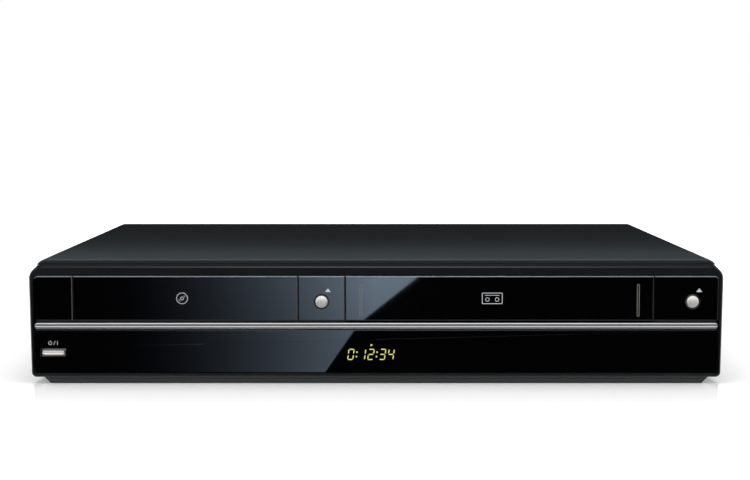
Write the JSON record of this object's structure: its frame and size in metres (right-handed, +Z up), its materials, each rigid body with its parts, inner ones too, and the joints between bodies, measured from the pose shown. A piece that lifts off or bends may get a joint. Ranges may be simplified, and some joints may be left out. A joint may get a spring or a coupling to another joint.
{
  "type": "disc and cassette combination player",
  "caption": "Table-top player with a sliding disc tray, a swing-in cassette door, round eject buttons, a power bar, a display window and a silver strip across a gloss black front.",
  "frame": {"origin": "on the floor under the middle of the outer box", "axes": "+X to the right seen from the front, +Y to the back, +Z up"},
  "size_m": [0.4298, 0.3538, 0.0769],
  "materials": {
    "cover_paint": "satin black powder coat",
    "bezel_black": "gloss moulded plastic",
    "fascia_black": "polished acrylic, high gloss",
    "trim_silver": "satin",
    "button_silver": "pearl silver",
    "zinc_steel": "zinc plated sheet",
    "rear_paint": "matt black",
    "foot_rubber": "matt",
    "screw_steel": "blackened",
    "bright_steel": "ground",
    "circuit_board": "solder resist",
    "black_plastic": "moulded",
    "natural_plastic": "moulded",
    "grey_plastic": "moulded",
    "motor_can": "plated",
    "drum_alloy": "turned",
    "head_metal": "lapped",
    "soft_rubber": "ground",
    "display_glass": "dark filter glass"
  },
  "bodies": {
    "casing": {"audio_head": "head_metal", "bottom_chassis": "zinc_steel", "capstan_motor": "motor_can", "carriage_guides": "zinc_steel", "case_screws": "screw_steel", "clamp_bridge": "zinc_steel", "deck_chassis": "zinc_steel", "deck_motor": "motor_can", "display_tube": "display_glass", "erase_head": "head_metal", "feet": "foot_rubber", "front_bezel": "bezel_black", "front_board": "circuit_board", "inner_screws": "bright_steel", "left_fascia_tile": "fascia_black", "loader_belt": "soft_rubber", "loader_frame": "black_plastic", "lower_drum": "drum_alloy", "lower_fascia": "fascia_black", "main_board": "circuit_board", "mains_inlet": "black_plastic", "middle_fascia_tile": "fascia_black", "phono_jacks": "black_plastic", "power_board": "circuit_board", "rear_panel": "rear_paint", "right_fascia_tile": "fascia_black", "signal_sockets": "black_plastic", "top_cover": "cover_paint", "tray_motor": "motor_can", "trim_strip": "trim_silver", "tuner_module": "motor_can"},
    "tray": {"disc_tray": "black_plastic", "tray_cap": "fascia_black"},
    "tray_gear": {"tray_gear": "natural_plastic"},
    "pulley_gear": {"pulley_gear": "natural_plastic"},
    "motor_pulley": {"motor_pulley": "natural_plastic"},
    "traverse": {"traverse_frame": "black_plastic", "spindle_motor": "motor_can", "sled_rails": "bright_steel", "sled_motor": "motor_can"},
    "turntable": {"turntable": "natural_plastic"},
    "clamper": {"disc_clamper": "natural_plastic"},
    "sled": {"laser_sled": "black_plastic"},
    "sled_gear": {"sled_gear": "natural_plastic"},
    "cassette_door": {"cassette_door": "fascia_black"},
    "carriage": {"holder_carriage": "zinc_steel"},
    "holder": {"cassette_holder": "zinc_steel"},
    "head_drum": {"head_drum": "drum_alloy"},
    "capstan": {"capstan": "bright_steel"},
    "supply_reel": {"supply_reel": "grey_plastic"},
    "takeup_reel": {"takeup_reel": "grey_plastic"},
    "pinch_lever": {"pinch_lever": "head_metal"},
    "pinch_roller": {"pinch_roller": "soft_rubber"},
    "mode_gear": {"mode_gear": "natural_plastic"},
    "deck_pinion": {"deck_pinion": "natural_plastic"},
    "supply_guide": {"supply_guide": "grey_plastic"},
    "takeup_guide": {"takeup_guide": "grey_plastic"},
    "power_button": {"power_button": "button_silver"},
    "disc_eject_button": {"disc_eject_button": "button_silver"},
    "cassette_eject_button": {"cassette_eject_button": "button_silver"}
  },
  "joints": [
    {"name": "tray_slide", "type": "slide", "parent": "casing", "child": "tray", "axis": [0, -1, 0], "range_m": [0, 0.138]},
    {"name": "tray_gear_spin", "type": "hinge", "parent": "casing", "child": "tray_gear", "pos_m": [-0.07815, -0.1427, 0.04445], "axis": [0, 0, 1], "range_deg": [-661, 0]},
    {"name": "pulley_gear_spin", "type": "hinge", "parent": "casing", "child": "pulley_gear", "pos_m": [-0.09975, -0.1427, 0.04445], "axis": [0, 0, 1], "range_deg": [0, 1885]},
    {"name": "motor_pulley_spin", "type": "hinge", "parent": "casing", "child": "motor_pulley", "pos_m": [-0.14815, -0.1427, 0.04915], "axis": [0, 0, 1], "range_deg": [0, 4395]},
    {"name": "traverse_tilt", "type": "hinge", "parent": "casing", "child": "traverse", "pos_m": [-0.11815, -0.0177, 0.0393], "axis": [1, 0, 0], "range_deg": [0, 4]},
    {"name": "turntable_spin", "type": "hinge", "parent": "traverse", "child": "turntable", "pos_m": [-0.11815, -0.1007, 0.05405], "axis": [0, 0, 1], "continuous": true},
    {"name": "clamper_spin", "type": "hinge", "parent": "casing", "child": "clamper", "pos_m": [-0.11815, -0.1007, 0.062], "axis": [0, 0, 1], "continuous": true},
    {"name": "sled_slide", "type": "slide", "parent": "traverse", "child": "sled", "axis": [0, 1, 0], "range_m": [0, 0.034]},
    {"name": "sled_gear_spin", "type": "hinge", "parent": "traverse", "child": "sled_gear", "pos_m": [-0.0904, -0.0637, 0.04305], "axis": [0, 0, 1], "range_deg": [-327, 0]},
    {"name": "cassette_door_swing", "type": "hinge", "parent": "casing", "child": "cassette_door", "pos_m": [0.0764, -0.1723, 0.0693], "axis": [1, 0, 0], "range_deg": [0, 85], "stiffness_Nm_per_rad": 0.004, "springref_deg": -17.19},
    {"name": "carriage_slide", "type": "slide", "parent": "casing", "child": "carriage", "axis": [0, 1, 0], "range_m": [0, 0.06]},
    {"name": "holder_drop", "type": "slide", "parent": "carriage", "child": "holder", "axis": [0, 0, -1], "range_m": [0, 0.014]},
    {"name": "head_drum_spin", "type": "hinge", "parent": "casing", "child": "head_drum", "pos_m": [0.0764, 0.0591, 0.0275], "axis": [0, 0.1045, 0.9945], "continuous": true},
    {"name": "capstan_spin", "type": "hinge", "parent": "casing", "child": "capstan", "pos_m": [0.1424, 0.0346, 0.0215], "axis": [0, 0, 1], "continuous": true},
    {"name": "supply_reel_spin", "type": "hinge", "parent": "casing", "child": "supply_reel", "pos_m": [0.0304, -0.0379, 0.0215], "axis": [0, 0, 1], "continuous": true},
    {"name": "takeup_reel_spin", "type": "hinge", "parent": "casing", "child": "takeup_reel", "pos_m": [0.1224, -0.0379, 0.0215], "axis": [0, 0, 1], "continuous": true},
    {"name": "pinch_lever_swing", "type": "hinge", "parent": "casing", "child": "pinch_lever", "pos_m": [0.1624, 0.0526, 0.0215], "axis": [0, 0, -1], "range_deg": [0, 25]},
    {"name": "pinch_roller_spin", "type": "hinge", "parent": "pinch_lever", "child": "pinch_roller", "pos_m": [0.16085, 0.03202, 0.0315], "axis": [0, 0, 1], "continuous": true},
    {"name": "mode_gear_turn", "type": "hinge", "parent": "casing", "child": "mode_gear", "pos_m": [0.0044, 0.0671, 0.0215], "axis": [0, 0, 1], "range_deg": [0, 300]},
    {"name": "deck_pinion_spin", "type": "hinge", "parent": "casing", "child": "deck_pinion", "pos_m": [0.0044, 0.0431, 0.0215], "axis": [0, 0, 1], "range_deg": [-905, 0]},
    {"name": "supply_guide_slide", "type": "slide", "parent": "casing", "child": "supply_guide", "axis": [-0.2873, 0.9578, 0], "range_m": [0, 0.06264]},
    {"name": "takeup_guide_slide", "type": "slide", "parent": "casing", "child": "takeup_guide", "axis": [0.2873, 0.9578, 0], "range_m": [0, 0.06264]},
    {"name": "power_button_press", "type": "slide", "parent": "casing", "child": "power_button", "axis": [0, 1, 0], "range_m": [0, 0.001], "stiffness_N_per_m": 300},
    {"name": "disc_eject_button_press", "type": "slide", "parent": "casing", "child": "disc_eject_button", "axis": [0, 1, 0], "range_m": [0, 0.001], "stiffness_N_per_m": 300},
    {"name": "cassette_eject_button_press", "type": "slide", "parent": "casing", "child": "cassette_eject_button", "axis": [0, 1, 0], "range_m": [0, 0.001], "stiffness_N_per_m": 300}
  ],
  "couplings": [
    {"joint": "tray_gear_spin", "follows": "tray_slide", "rad_per_m": -83.333},
    {"joint": "pulley_gear_spin", "follows": "tray_slide", "rad_per_m": 238.1},
    {"joint": "motor_pulley_spin", "follows": "tray_slide", "rad_per_m": 555.56},
    {"joint": "clamper_spin", "follows": "turntable_spin", "ratio": 1},
    {"joint": "sled_gear_spin", "follows": "sled_slide", "rad_per_m": -166.67},
    {"joint": "deck_pinion_spin", "follows": "mode_gear_turn", "ratio": -3},
    {"joint": "takeup_guide_slide", "follows": "supply_guide_slide", "ratio": 1}
  ]
}
